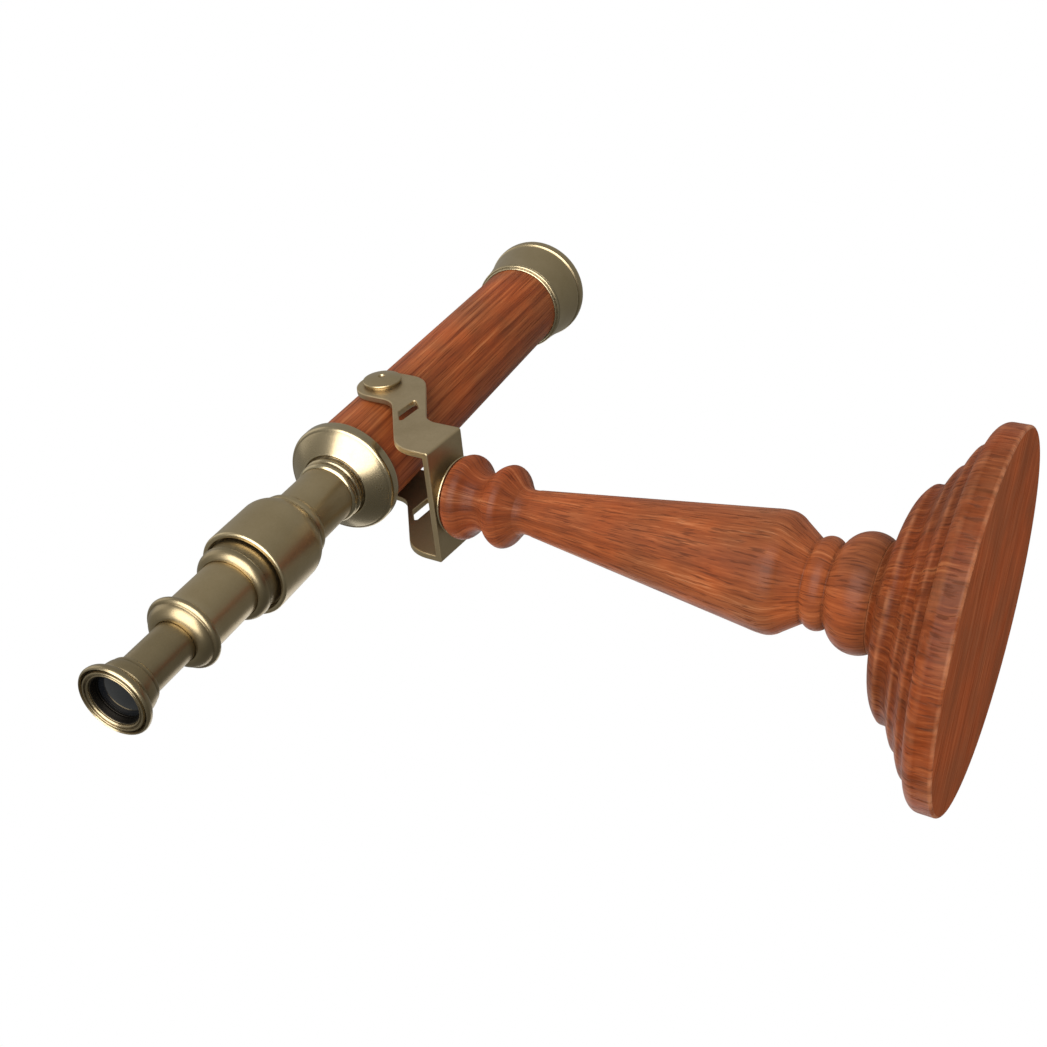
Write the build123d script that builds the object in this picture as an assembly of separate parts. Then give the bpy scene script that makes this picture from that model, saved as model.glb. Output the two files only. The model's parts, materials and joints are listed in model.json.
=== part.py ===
from build123d import *
import os

# Desk telescope on a turned pedestal, millimetres, +Z up.
# The origin is the centre of the underside of the plinth, the face that rests on the table.
# The telescope is drawn along X, stations from its tilt pivot, and then raised by the pitch angle.

os.makedirs("parts", exist_ok=True)

# ---- clearances
running_gap = 0.05          # radial gap of a sliding or turning fit
glue_gap = 0.03             # radial gap filled with glue, solder or thread
face_gap = 0.05             # axial gap between pieces that slide past each other
arm_gap = 1.1               # between the barrel and each arm of the bracket
lens_gap = 0.22             # between the objective and its retaining ring

# ---- stand
plinth_r = 60.2
plinth_height = 32.2
tier_1_top = 11.8
tier_2_top = 16.6
tier_3_top = 21.0
dome_r = plinth_r - 22.0
waist_r = 18.2              # where the column stands on the plinth
ball_r = 19.9
belly_r = 20.8              # widest part of the long taper
taper_top_r = 8.4
cap_r = 16.2
column_top = 191.2
tenon_r = 9.0
tenon_length = 24.0

# ---- telescope, stations are measured along its axis from the tilt pivot
pitch = 8.6
barrel_r = 19.9
barrel_wall = 3.4
liner_wall = 0.8
barrel_rear = -38.0
barrel_front = 150.0
flange_r = barrel_r + 2.7
neck_r = 11.5
neck_wall = 0.9
neck_rear = barrel_rear - 42.0
neck_front = barrel_rear + 2.0
cap_rear = barrel_front - 10.6
cap_front = barrel_front + 18.0
cap_lip_r = barrel_r + 5.35
lens_r = barrel_r - 1.1
cell_r = lens_r + 0.2
lens_seat = barrel_front + 2.0
cemented_curve = 3.7234042553 * lens_r   # radius of the two cemented lens faces
crown_curve = 4.7872340426 * lens_r      # radius of the objective's front face

# ---- draws
draw_r = 11.2
draw_wall = 0.9
draw_length = 43.9
draw_stop_r = draw_r + 1.0
collar_r = draw_r + 2.7
sleeve_bore_r = draw_r + 3.8
sleeve_r = sleeve_bore_r + 1.9
sleeve_rear = neck_rear - 27.4
gland_r = draw_r + 2.8
gland_rear = sleeve_rear - 8.8
gland_front = sleeve_rear + 4.9
draw_front = gland_front + 5.0
draw_rear = draw_front - draw_length
collar_rear = draw_rear - 5.2
eye_tube_r = 7.7
eye_tube_length = 44.0
eye_tube_front = draw_rear + 15.4
eye_tube_rear = eye_tube_front - eye_tube_length
eye_bore_r = eye_tube_r - 0.8
cup_front = eye_tube_rear + 3.8
cup_rear = eye_tube_rear - 8.0
eye_lens_r = eye_tube_r + 0.5
eye_ring_r = eye_lens_r + 3.2

# ---- bracket
bracket_bottom = column_top + 3.2
sheet = 2.6
bend_r = 1.0                # outside radius where the arms turn up
bracket_half_width = barrel_r + arm_gap + sheet
foot_back = -13.0
foot_front = 9.2
pivot_x = 30.2
pivot_z = bracket_bottom + 52.15
barrel_rise = 1.25           # the barrel's axis passes this far above the tilt pivot
lobe_x = pivot_x - 0.8       # the lobe is centred a little below the tilt pivot
lobe_z = pivot_z - 1.35
lobe_r = 11.2
washer_r = 15.0
washer_hub_r = 9.5

# ---- swivel
swivel_shoulder_r = 4.0
swivel_thread_r = 3.0
swivel_insert_r = 5.5

# ---- tilt pivot
pivot_shoulder_r = 3.2
pivot_thread_r = 2.5
pivot_head_r = 7.9
pivot_insert_r = 4.5
pivot_insert_inset = 1.0     # the insert's end lies this far inside the barrel's surface


def outline(start, *steps):
    # closed face in the XY plane: a step is an end point, or (middle, end) of an arc
    edges = []
    here = start
    for step in steps:
        if isinstance(step[0], tuple):
            end = step[1]
            edges.append(ThreePointArc(here, step[0], end))
        else:
            end = step
            edges.append(Line(here, end))
        here = end
    if here != start:
        edges.append(Line(here, start))
    return make_face(Curve() + edges)


def turned_z(start, *steps):
    # points are (radius, height)
    return revolve(Plane.XZ * outline(start, *steps), Axis.Z)


def turned_x(start, *steps):
    # points are (station, radius)
    return revolve(outline(start, *steps), Axis.X)


def ring_x(rear, front, outer, inner, soft=0.0):
    # plain tube or ring along X, its four rims softened
    ring = turned_x((rear, inner), (front, inner), (front, outer), (rear, outer))
    if soft > 0:
        ring = chamfer(ring.edges().filter_by(GeomType.CIRCLE), soft)
    return ring


def export(shape, name):
    shape.label = name
    export_step(shape, "parts/" + name + ".step")


def build_plinth():
    mid = plinth_r - 5.0
    body = turned_z(
        (0, 0),
        (plinth_r - 1.0, 0),
        ((plinth_r - 0.3, 0.3), (plinth_r, 1.0)),
        (plinth_r, 6.0),
        ((plinth_r - 1.3, 8.1), (mid + 0.8, 9.2)),
        ((mid - 1.6, 10.2), (mid - 2.6, tier_1_top)),
        (mid - 2.8, tier_1_top + 0.4),
        ((mid - 4.3, tier_1_top + 1.3), (mid - 7.3, tier_1_top + 2.4)),
        ((dome_r + 8.0, tier_2_top - 1.5), (dome_r + 7.0, tier_2_top)),
        (dome_r + 6.6, tier_2_top + 0.4),
        ((dome_r + 5.0, tier_2_top + 1.3), (dome_r + 2.4, tier_2_top + 2.4)),
        ((dome_r + 1.0, tier_3_top - 1.2), (dome_r + 0.2, tier_3_top)),
        (dome_r, tier_3_top + 0.5),
        (dome_r, tier_3_top + 2.2),
        ((dome_r - 2.8, tier_3_top + 4.5), (dome_r - 8.2, tier_3_top + 6.2)),
        (waist_r + 4.8, plinth_height - 2.9),
        ((waist_r + 1.4, plinth_height - 1.4), (waist_r, plinth_height)),
        (0, plinth_height),
    )
    socket = turned_z(
        (0, plinth_height - tenon_length - 1.0),
        (tenon_r + glue_gap, plinth_height - tenon_length - 1.0),
        (tenon_r + glue_gap, plinth_height + 1),
        (0, plinth_height + 1),
    )
    return body - socket


def build_column():
    foot = plinth_height
    top = column_top
    body = turned_z(
        (0, foot - tenon_length),
        (tenon_r - 0.8, foot - tenon_length),
        (tenon_r, foot - tenon_length + 0.8),
        (tenon_r, foot),
        (waist_r, foot),
        ((ball_r, foot + 5.8), (13.8, foot + 14.4)),
        (13.5, foot + 15.0),
        ((15.6, foot + 18.8), (14.1, foot + 22.0)),
        (13.9, foot + 22.5),
        (14.6, foot + 23.2),
        (belly_r - 1.9, foot + 29.2),
        ((belly_r - 0.4, foot + 31.7), (belly_r, foot + 34.4)),
        ((belly_r - 0.1, foot + 36.4), (belly_r - 0.5, foot + 39.4)),
        (taper_top_r + 0.35, top - 33.8),
        ((taper_top_r, top - 31.2), (taper_top_r + 0.2, top - 29.2)),
        (taper_top_r + 0.9, top - 27.8),
        (cap_r - 2.3, top - 24.0),
        ((cap_r - 0.9, top - 22.5), (cap_r - 0.5, top - 20.9)),
        ((cap_r - 1.3, top - 18.8), (cap_r - 3.0, top - 16.8)),
        ((cap_r - 4.9, top - 13.8), (cap_r - 5.0, top - 11.6)),
        ((cap_r - 3.8, top - 9.0), (cap_r - 1.6, top - 6.8)),
        ((cap_r, top - 3.8), (cap_r - 1.2, top - 0.8)),
        (cap_r - 2.3, top),
        (0, top),
    )
    depth = 22.0
    socket = turned_z(
        (0, column_top - depth),
        (swivel_insert_r + glue_gap, column_top - depth),
        (swivel_insert_r + glue_gap, column_top + 1),
        (0, column_top + 1),
    )
    return body - socket


def build_swivel_insert():
    base = column_top - 21.5
    return turned_z(
        (0, base),
        (swivel_insert_r - 0.5, base),
        (swivel_insert_r, base + 0.5),
        (swivel_insert_r, column_top),
        (swivel_thread_r + glue_gap, column_top),
        (swivel_thread_r + glue_gap, base + 3.0),
        (0, base + 3.0),
    )


def build_swivel_washer():
    # thin brass disc on the column cap, with a hub that carries the bracket
    top = bracket_bottom - face_gap
    rim = column_top + 0.8
    return turned_z(
        (swivel_thread_r + glue_gap, column_top),
        (washer_r - 0.3, column_top),
        ((washer_r, column_top + 0.4), (washer_r - 0.3, rim)),
        (washer_hub_r + 0.4, rim),
        (washer_hub_r, rim + 0.4),
        (washer_hub_r, top),
        (swivel_thread_r + glue_gap, top),
    )


def build_swivel_screw():
    # shoulder screw: the bracket turns on its shoulder, the thread bites in the insert
    seat = bracket_bottom - face_gap
    shoulder_top = bracket_bottom + sheet + 1.2
    head_top = shoulder_top + 3.4
    head_r = swivel_shoulder_r + 3.5
    screw = turned_z(
        (0, column_top - 17.0),
        (swivel_thread_r - 0.6, column_top - 17.0),
        (swivel_thread_r, column_top - 16.4),
        (swivel_thread_r, seat),
        (swivel_shoulder_r, seat),
        (swivel_shoulder_r, shoulder_top),
        (head_r, shoulder_top),
        (head_r, shoulder_top + 1.2),
        ((head_r - 1.6, head_top - 0.6), (3.0, head_top)),
        (0, head_top),
    )
    slot = Pos(0, 0, head_top) * Box(2 * head_r + 1.0, 1.4, 2.8)
    return screw - slot


def build_spring_washer():
    low = bracket_bottom + sheet + face_gap
    outer = swivel_shoulder_r + 2.8
    return turned_z(
        (swivel_shoulder_r + 0.2, low + 0.3),
        (outer, low),
        (outer, low + 0.8),
        (swivel_shoulder_r + 0.2, low + 1.1),
    )


def arm_outline():
    # side view of one arm, drawn as (x, z): wide foot, slanted neck, round lobe
    low = bracket_bottom
    left = lobe_x - lobe_r
    right = lobe_x + lobe_r
    front_corner = low + 15.8
    back_corner = low + 14.6
    right_corner = lobe_z - 12.8
    left_corner = lobe_z - 12.1
    arch = (lobe_x, lobe_z + lobe_r)
    face = outline(
        (foot_back, low),
        (foot_front, low),
        (foot_front, front_corner),
        (right, right_corner),
        (right, lobe_z),
        (arch, (left, lobe_z)),
        (left, left_corner),
        (foot_back, back_corner),
    )
    radii = (
        (foot_front, front_corner, 9.0),
        (right, right_corner, 12.0),
        (left, left_corner, 10.0),
        (foot_back, back_corner, 15.0),
    )
    for x, z, radius in radii:
        corner = face.vertices().sort_by_distance((x, z, 0))[0]
        face = fillet(corner, radius)
    return face


def build_bracket():
    half = bracket_half_width
    top = lobe_z + lobe_r + 5
    blank = extrude(Plane.XZ * arm_outline(), half + 5, both=True)
    shell_outer = outline(
        (-half, bracket_bottom),
        (half, bracket_bottom),
        (half, top),
        (-half, top),
    )
    bends = shell_outer.vertices().group_by(Axis.Y)[0]
    shell_outer = fillet(bends, bend_r)
    inner = half - sheet
    shell_inner = outline(
        (-inner, bracket_bottom + sheet),
        (inner, bracket_bottom + sheet),
        (inner, top + 1),
        (-inner, top + 1),
    )
    bends = shell_inner.vertices().group_by(Axis.Y)[0]
    shell_inner = fillet(bends, 0.3)
    shell = extrude(Plane.YZ * (shell_outer - shell_inner), 80, both=True)
    bracket = blank & shell
    slot = outline(
        (4.2, bracket_bottom + 24.8),
        (17.0, bracket_bottom + 24.8),
        (22.8, bracket_bottom + 30.6),
        (11.3, bracket_bottom + 30.6),
    )
    slot = fillet(slot.vertices(), 0.8)
    bracket -= extrude(Plane.XZ * slot, half + 5, both=True)
    swivel_hole = Cylinder(swivel_shoulder_r + running_gap, 20)
    bracket -= Pos(0, 0, bracket_bottom) * swivel_hole
    pivot_hole = Rot(90, 0, 0) * Cylinder(pivot_shoulder_r + running_gap, 80)
    bracket -= Pos(pivot_x, 0, pivot_z) * pivot_hole
    # soften the long rims of the two arms and of the base plate
    flats = bracket.faces().filter_by(Axis.Y)
    outer = flats.sort_by(SortBy.AREA)[-4:]
    rims = outer.edges().filter_by(lambda e: e.center().Z > bracket_bottom + sheet + 1)
    rims = rims.filter_by(lambda e: abs(e.center().X - pivot_x) > 1 or e.length > 25)
    return fillet(rims, 0.5)


# The telescope and its draws are drawn along X from the tilt pivot.
def build_barrel():
    barrel = ring_x(barrel_rear, barrel_front, barrel_r, barrel_r - barrel_wall)
    hole = Pos(0, 0, -barrel_rise) * Rot(90, 0, 0) * Cylinder(pivot_insert_r + glue_gap, 60)
    return barrel - hole


def build_liner():
    outer = barrel_r - barrel_wall - glue_gap
    liner = ring_x(barrel_rear, barrel_front, outer, outer - liner_wall)
    hole = Pos(0, 0, -barrel_rise) * Rot(90, 0, 0) * Cylinder(pivot_insert_r + glue_gap, 60)
    return liner - hole


def build_rear_flange():
    # cup over the rear end of the barrel, shallow dished face, two beads round the neck
    bore = neck_r + glue_gap
    end = barrel_rear
    return turned_x(
        (end + 3.8, barrel_r + glue_gap),
        (end + 3.8, flange_r - 0.3),
        ((end + 3.6, flange_r - 0.08), (end + 3.3, flange_r)),
        (end + 0.4, flange_r),
        ((end - 0.5, flange_r - 0.3), (end - 1.3, flange_r - 1.4)),
        (end - 1.5, flange_r - 1.6),
        ((end - 5.0, neck_r + 5.9), (end - 6.6, neck_r + 2.1)),
        (end - 6.2, neck_r + 1.4),
        (end - 7.1, neck_r + 0.9),
        ((end - 8.3, neck_r + 1.4), (end - 9.5, neck_r + 0.8)),
        (end - 10.0, neck_r + 0.5),
        ((end - 11.7, neck_r + 1.2), (end - 13.0, neck_r + 0.4)),
        (end - 13.2, bore),
        (end - 3.5, bore),
        (end - 3.5, neck_r + 3.5),
        (end - 0.1, neck_r + 3.5),
        (end - 0.1, barrel_r + glue_gap),
    )


def build_neck_tube():
    return ring_x(neck_rear, neck_front, neck_r, neck_r - neck_wall)


def build_sleeve():
    # large sleeve: open rear mouth, rounded front shoulder, small ring round the neck
    bore = neck_r + glue_gap
    stop = draw_stop_r + 0.3
    return turned_x(
        (sleeve_rear, sleeve_bore_r + 0.2),
        (sleeve_rear, sleeve_r - 0.9),
        ((sleeve_rear + 0.3, sleeve_r - 0.3), (sleeve_rear + 1.0, sleeve_r)),
        (neck_rear - 4.6, sleeve_r),
        ((neck_rear - 1.0, sleeve_r - 1.0), (neck_rear + 1.8, sleeve_r - 3.0)),
        (neck_rear + 2.2, neck_r + 1.8),
        (neck_rear + 3.0, neck_r + 2.2),
        ((neck_rear + 4.8, neck_r + 2.2), (neck_rear + 6.4, neck_r + 1.3)),
        (neck_rear + 7.0, bore),
        (neck_rear - 0.1, bore),
        (neck_rear - 0.1, stop),
        (neck_rear - 6.0, stop),
        (neck_rear - 6.0, sleeve_bore_r),
        (sleeve_rear + 0.2, sleeve_bore_r),
    )


def build_gland():
    # bush screwed into the sleeve mouth, the main draw slides through it
    bore = draw_r + running_gap
    return turned_x(
        (gland_rear, bore + 0.2),
        ((gland_rear + 0.5, gland_r - 1.1), (gland_rear + 3.5, gland_r + 0.3)),
        ((gland_rear + 3.9, gland_r + 0.4), (gland_rear + 4.2, gland_r)),
        (sleeve_rear + 2.9, gland_r),
        (sleeve_rear + 2.9, sleeve_bore_r - glue_gap),
        (gland_front, sleeve_bore_r - glue_gap),
        (gland_front, bore),
        (gland_rear + 0.2, bore),
    )


def build_front_cap():
    # flared brass cap: socket over the barrel, lens cell, beaded rims
    return turned_x(
        (cap_rear, barrel_r + glue_gap),
        (cap_rear, barrel_r + 0.2),
        ((cap_rear + 0.55, barrel_r + 1.0), (cap_rear + 1.1, barrel_r + 0.8)),
        (cap_rear + 1.2, barrel_r + 1.2),
        ((cap_rear + 1.8, barrel_r + 1.95), (cap_rear + 2.6, barrel_r + 1.6)),
        (cap_rear + 3.0, barrel_r + 2.0),
        ((cap_front - 16.0, barrel_r + 3.0), (cap_front - 6.4, cap_lip_r - 0.55)),
        (cap_front - 5.8, cap_lip_r - 0.85),
        (cap_front - 5.2, cap_lip_r - 0.35),
        ((cap_front - 2.4, cap_lip_r), (cap_front - 0.4, cap_lip_r - 0.35)),
        ((cap_front + 0.1, cap_lip_r - 1.05), (cap_front - 0.1, cap_lip_r - 1.85)),
        ((cap_front - 2.6, cell_r + 2.9), (cap_front - 6.0, cell_r + 1.6)),
        (cap_front - 6.0, cell_r),
        (lens_seat, cell_r),
        (lens_seat, lens_r - 1.8),
        (barrel_front + 0.1, lens_r - 1.8),
        (barrel_front + 0.1, barrel_r + glue_gap),
    )


def sag(curve, r):
    # depth of a spherical face of radius curve, out to the radius r
    return curve - (curve**2 - r**2) ** 0.5


def build_flint():
    # plano-concave rear element of the objective
    curve = cemented_curve
    apex = lens_seat + 1.9
    half = 0.5 * lens_r
    return turned_x(
        (lens_seat + 0.1, 0),
        (lens_seat + 0.1, lens_r),
        (apex + sag(curve, lens_r), lens_r),
        ((apex + sag(curve, half), half), (apex, 0)),
    )


def build_crown():
    # biconvex front element, nested in the flint
    rear = cemented_curve
    front = crown_curve
    rear_apex = lens_seat + 1.95
    front_apex = lens_seat + 8.0
    half = 0.5 * lens_r
    return turned_x(
        (rear_apex, 0),
        ((rear_apex + sag(rear, half), half), (rear_apex + sag(rear, lens_r), lens_r)),
        (front_apex - sag(front, lens_r), lens_r),
        ((front_apex - sag(front, half), half), (front_apex, 0)),
    )


def build_objective_ring():
    # screwed into the cell, its inner corner close to the front element
    inner = lens_r - 1.8
    rear = lens_seat + 8.0 - sag(crown_curve, inner) + lens_gap
    return ring_x(rear, rear + 2.8, cell_r - glue_gap, inner, 0.3)


def build_pivot_inserts():
    # threaded bushes let into both sides of the barrel
    inner = barrel_r - barrel_wall - 3.0
    outer = barrel_r - pivot_insert_inset
    length = outer - inner
    bush = Cylinder(pivot_insert_r, length)
    bush -= Cylinder(pivot_thread_r + glue_gap, length + 2)
    bush = Rot(90, 0, 0) * bush
    middle = 0.5 * (outer + inner)
    return Compound([Pos(0, side * middle, -barrel_rise) * bush for side in (-1, 1)])


def build_pivot_screws():
    # domed shoulder screws that clamp the arms and carry the barrel
    outer = bracket_half_width
    seat = barrel_r - pivot_insert_inset + face_gap
    tip = barrel_r - barrel_wall - 2.0
    head = outer + face_gap
    screw = turned_z(
        (0, tip),
        (pivot_thread_r - 0.4, tip),
        (pivot_thread_r, tip + 0.4),
        (pivot_thread_r, seat),
        (pivot_shoulder_r, seat),
        (pivot_shoulder_r, head),
        (pivot_head_r - 1.1, head),
        (pivot_head_r - 1.1, head + 0.7),
        (pivot_head_r - 0.3, head + 0.8),
        ((pivot_head_r, head + 1.3), (pivot_head_r - 0.4, head + 1.9)),
        (pivot_head_r - 0.9, head + 2.0),
        ((4.4, head + 2.7), (1.5, head + 3.0)),
        (1.1, head + 2.4),
        (0, head + 2.4),
    )
    near = Pos(0, 0, -barrel_rise) * Rot(90, 0, 0) * screw
    far = Pos(0, 0, -barrel_rise) * Rot(-90, 0, 0) * screw
    return Compound([near, far])


def build_draw_tube():
    return ring_x(draw_rear, draw_front, draw_r, draw_r - draw_wall)


def build_draw_stop():
    # small ring at the inner end, keeps the tube from leaving the gland
    outer = draw_stop_r
    return ring_x(draw_front - 2.5, draw_front, outer, draw_r + glue_gap, 0.2)


def build_draw_collar():
    # rounded flange at the rear end; its spigot guides the eyepiece tube
    bore = eye_tube_r + running_gap
    spigot = draw_r - draw_wall - glue_gap
    return turned_x(
        (collar_rear, bore + 0.3),
        (collar_rear, eye_tube_r + 1.2),
        ((collar_rear + 1.3, collar_r - 2.6), (collar_rear + 3.2, collar_r - 1.4)),
        (collar_rear + 3.4, collar_r - 1.0),
        ((collar_rear + 4.7, collar_r), (collar_rear + 6.2, collar_r - 0.8)),
        (collar_rear + 6.2, draw_r + glue_gap),
        (draw_rear - 0.05, draw_r + glue_gap),
        (draw_rear - 0.05, spigot),
        (draw_rear + 9.4, spigot),
        (draw_rear + 9.4, bore),
        (collar_rear + 0.3, bore),
    )


def build_eye_tube():
    # bore widens for the field optics
    return turned_x(
        (eye_tube_rear, eye_bore_r - 0.7),
        (eye_tube_rear, eye_tube_r),
        (eye_tube_front, eye_tube_r),
        (eye_tube_front, eye_bore_r),
        (eye_tube_front - 24.0, eye_bore_r),
        (eye_tube_front - 24.0, eye_bore_r - 0.7),
    )


def build_eye_stop():
    # fills the draw tube's bore all but a loose gap
    inner = eye_tube_r + glue_gap
    outer = draw_r - draw_wall - 0.77
    soft = min(0.2, 0.3 * (outer - inner))
    return ring_x(eye_tube_front - 2.0, eye_tube_front, outer, inner, soft)


def build_eye_cup():
    # stepped cup with a rolled rim, stations from the rear end of its tube
    bore = eye_tube_r + glue_gap
    end = eye_tube_rear
    rim = eye_ring_r + 1.6
    return turned_x(
        (cup_front, bore),
        ((cup_front - 0.3, eye_tube_r + 0.9), (end + 2.8, eye_tube_r + 1.4)),
        (end + 1.6, eye_tube_r + 1.4),
        (end + 1.3, eye_tube_r + 1.9),
        ((end - 0.6, eye_tube_r + 2.3), (end - 2.6, eye_tube_r + 2.4)),
        (end - 3.3, eye_tube_r + 2.1),
        (end - 3.8, eye_tube_r + 2.8),
        ((end - 4.6, rim - 0.9), (end - 6.4, rim)),
        ((end - 7.4, rim - 0.2), (cup_rear + 0.1, rim - 0.9)),
        (cup_rear + 0.6, eye_ring_r + 0.25),
        (end - 4.6, eye_ring_r + 0.1),
        (end - 4.6, eye_lens_r + glue_gap),
        (end - 1.6, eye_lens_r + glue_gap),
        (end - 1.6, eye_lens_r - 1.0),
        (end - 0.05, eye_lens_r - 1.0),
        (end - 0.05, bore),
    )


def build_eye_ring():
    # retaining ring in the cup mouth, its nose presses on the eye lens
    rear = cup_rear
    return turned_x(
        (rear + 0.8, eye_ring_r - 2.0),
        ((rear + 0.2, eye_ring_r - 1.5), (rear, eye_ring_r - 0.9)),
        ((rear + 0.2, eye_ring_r - 0.2), (rear + 0.8, eye_ring_r)),
        (rear + 3.3, eye_ring_r),
        (rear + 3.3, eye_lens_r - glue_gap),
        (rear + 4.8, eye_lens_r - glue_gap),
        (rear + 4.8, eye_lens_r - 0.6),
        (rear + 3.1, eye_lens_r - 0.6),
        (rear + 3.1, eye_lens_r + 0.7),
        (rear + 1.3, eye_lens_r + 0.7),
    )


def build_eye_lens():
    # flat face forward, domed face to the eye, its edge 1.15 thick
    curve = 24.7
    face = eye_tube_rear - 1.65
    apex = face - 1.14914162 - sag(curve, eye_lens_r)
    half = 0.5 * eye_lens_r
    return turned_x(
        (face, 0),
        (face, eye_lens_r),
        (apex + sag(curve, eye_lens_r), eye_lens_r),
        ((apex + sag(curve, half), half), (apex, 0)),
    )


def build_field_stop():
    rear = eye_tube_front - 23.95
    return ring_x(rear, rear + 0.95, eye_bore_r - glue_gap, eye_bore_r - 2.3)


def build_field_spacer():
    outer = eye_bore_r - glue_gap
    return ring_x(eye_tube_front - 22.98, eye_tube_front - 10.0, outer, outer - 0.7)


def build_field_lens():
    # biconvex, its edge 1.4 thick
    curve = 30.0
    edge = eye_bore_r - glue_gap
    rear_apex = eye_tube_front - 9.80279267 - sag(curve, edge)
    front_apex = eye_tube_front - 8.39720733 + sag(curve, edge)
    half = 0.5 * edge
    return turned_x(
        (rear_apex, 0),
        ((rear_apex + sag(curve, half), half), (rear_apex + sag(curve, edge), edge)),
        (front_apex - sag(curve, edge), edge),
        ((front_apex - sag(curve, half), half), (front_apex, 0)),
    )


def build_field_ring():
    rear = eye_tube_front - 8.1
    return ring_x(rear, rear + 2.0, eye_bore_r - glue_gap, eye_bore_r - 1.0, 0.2)


raised = Location((pivot_x, 0, pivot_z), (0, -pitch, 0)) * Pos(0, 0, barrel_rise)

standing = {
    "plinth": build_plinth(),
    "column": build_column(),
    "swivel_insert": build_swivel_insert(),
    "swivel_washer": build_swivel_washer(),
    "swivel_screw": build_swivel_screw(),
    "spring_washer": build_spring_washer(),
    "bracket": build_bracket(),
}
for name, shape in standing.items():
    export(shape, name)

along_tube = {
    "barrel": build_barrel(),
    "barrel_liner": build_liner(),
    "rear_flange": build_rear_flange(),
    "neck_tube": build_neck_tube(),
    "sleeve": build_sleeve(),
    "draw_gland": build_gland(),
    "front_cap": build_front_cap(),
    "objective_flint": build_flint(),
    "objective_crown": build_crown(),
    "objective_ring": build_objective_ring(),
    "pivot_inserts": build_pivot_inserts(),
    "pivot_screws": build_pivot_screws(),
    "draw_tube": build_draw_tube(),
    "draw_stop": build_draw_stop(),
    "draw_collar": build_draw_collar(),
    "eyepiece_tube": build_eye_tube(),
    "eyepiece_stop": build_eye_stop(),
    "eye_cup": build_eye_cup(),
    "eye_ring": build_eye_ring(),
    "eye_lens": build_eye_lens(),
    "field_stop": build_field_stop(),
    "field_spacer": build_field_spacer(),
    "field_lens": build_field_lens(),
    "field_ring": build_field_ring(),
}
for name, shape in along_tube.items():
    export(raised * shape, name)
print("nodes", len(standing) + len(along_tube))
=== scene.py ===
import json
import math

import bpy
import numpy as np
from mathutils import Matrix, Vector


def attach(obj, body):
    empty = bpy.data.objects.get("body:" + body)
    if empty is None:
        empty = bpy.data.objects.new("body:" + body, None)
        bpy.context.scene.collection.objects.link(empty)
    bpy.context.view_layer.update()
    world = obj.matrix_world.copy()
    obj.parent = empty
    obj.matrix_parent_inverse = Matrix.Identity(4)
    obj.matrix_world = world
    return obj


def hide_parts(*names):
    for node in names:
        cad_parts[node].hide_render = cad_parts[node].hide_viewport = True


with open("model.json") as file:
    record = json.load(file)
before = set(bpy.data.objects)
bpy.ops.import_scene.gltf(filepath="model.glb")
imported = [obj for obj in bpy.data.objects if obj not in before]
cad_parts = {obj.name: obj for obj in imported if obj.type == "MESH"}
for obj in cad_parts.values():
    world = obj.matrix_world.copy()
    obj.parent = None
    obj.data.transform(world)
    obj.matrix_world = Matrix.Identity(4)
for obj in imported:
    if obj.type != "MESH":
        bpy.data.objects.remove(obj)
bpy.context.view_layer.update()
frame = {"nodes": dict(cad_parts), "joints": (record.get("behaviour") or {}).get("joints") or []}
print("frame loaded:", len(frame["nodes"]), "nodes")

scene = bpy.context.scene
scene.view_settings.view_transform = "Standard"
scene.view_settings.look = "None"

# Profiles are in millimetres. The stand's are (radius, height) and turn round Z. The telescope's are
# (station, radius) and turn round the tube's axis, whose stations start opposite the tilt pivot and grow
# towards the objective; that axis passes a little above the pivot.
mm = 0.001
axisAbovePivot = 1.25
joints = {joint["name"]: joint for joint in frame["joints"]}
outward = np.array(joints["main_draw_slide"]["axis"], float)
tubeAlong = -outward / np.linalg.norm(outward)
tubeSide = np.array(joints["tilt"]["axis"], float)
tubeUp = np.cross(tubeAlong, tubeSide)
standAxis = {
    "columns": (1, 0),  # where a profile point keeps its station and its radius
    "origin": np.zeros(3),
    "along": np.array([0.0, 0.0, 1.0]),
    "side": np.array([1.0, 0.0, 0.0]),
    "up": np.array([0.0, 1.0, 0.0]),
}
tubeAxis = {
    "columns": (0, 1),
    "origin": np.array(joints["tilt"]["pos_m"]) / mm + axisAbovePivot * tubeUp,
    "along": tubeAlong,
    "side": tubeSide,
    "up": tubeUp,
}


def arcThrough(a, b, c, degrees=2.5, longest=0.8):
    # the centre is where the perpendicular bisectors of ab and bc meet: centre + radius * (cos t, sin t),
    # with t running from a by way of b to c
    a, b, c = (np.array(point, float) for point in (a, b, c))
    ab, cb = a - b, c - b
    cross = 2 * (ab[0] * cb[1] - ab[1] * cb[0])
    if abs(cross) < 1e-9:
        return np.array([a, c])
    offset = [cb[1] * (ab @ ab) - ab[1] * (cb @ cb), ab[0] * (cb @ cb) - cb[0] * (ab @ ab)]
    centre = b + np.array(offset) / cross
    radius = math.dist(a, centre)
    first, middle, last = (math.atan2(*(point - centre)[::-1]) for point in (a, b, c))
    turn = (last - first) % (2 * math.pi)
    if (middle - first) % (2 * math.pi) > turn:
        turn -= 2 * math.pi
    count = max(5, int(abs(math.degrees(turn)) / degrees), int(abs(turn) * radius / longest))
    angles = first + np.linspace(0, turn, count + 1)
    points = centre + radius * np.stack([np.cos(angles), np.sin(angles)], 1)
    points[0], points[-1] = a, c
    return points


def drawProfile(start, steps):
    # straight runs and arcs end to end: a step is an end point, or the (middle, end) of an arc
    runs = [np.array([start], float)]
    here = start
    for step in steps:
        if isinstance(step[0], tuple):
            runs.append(arcThrough(here, *step)[1:])
            here = step[1]
        else:
            runs.append(np.array([step], float))
            here = step
    return np.concatenate(runs)


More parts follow.
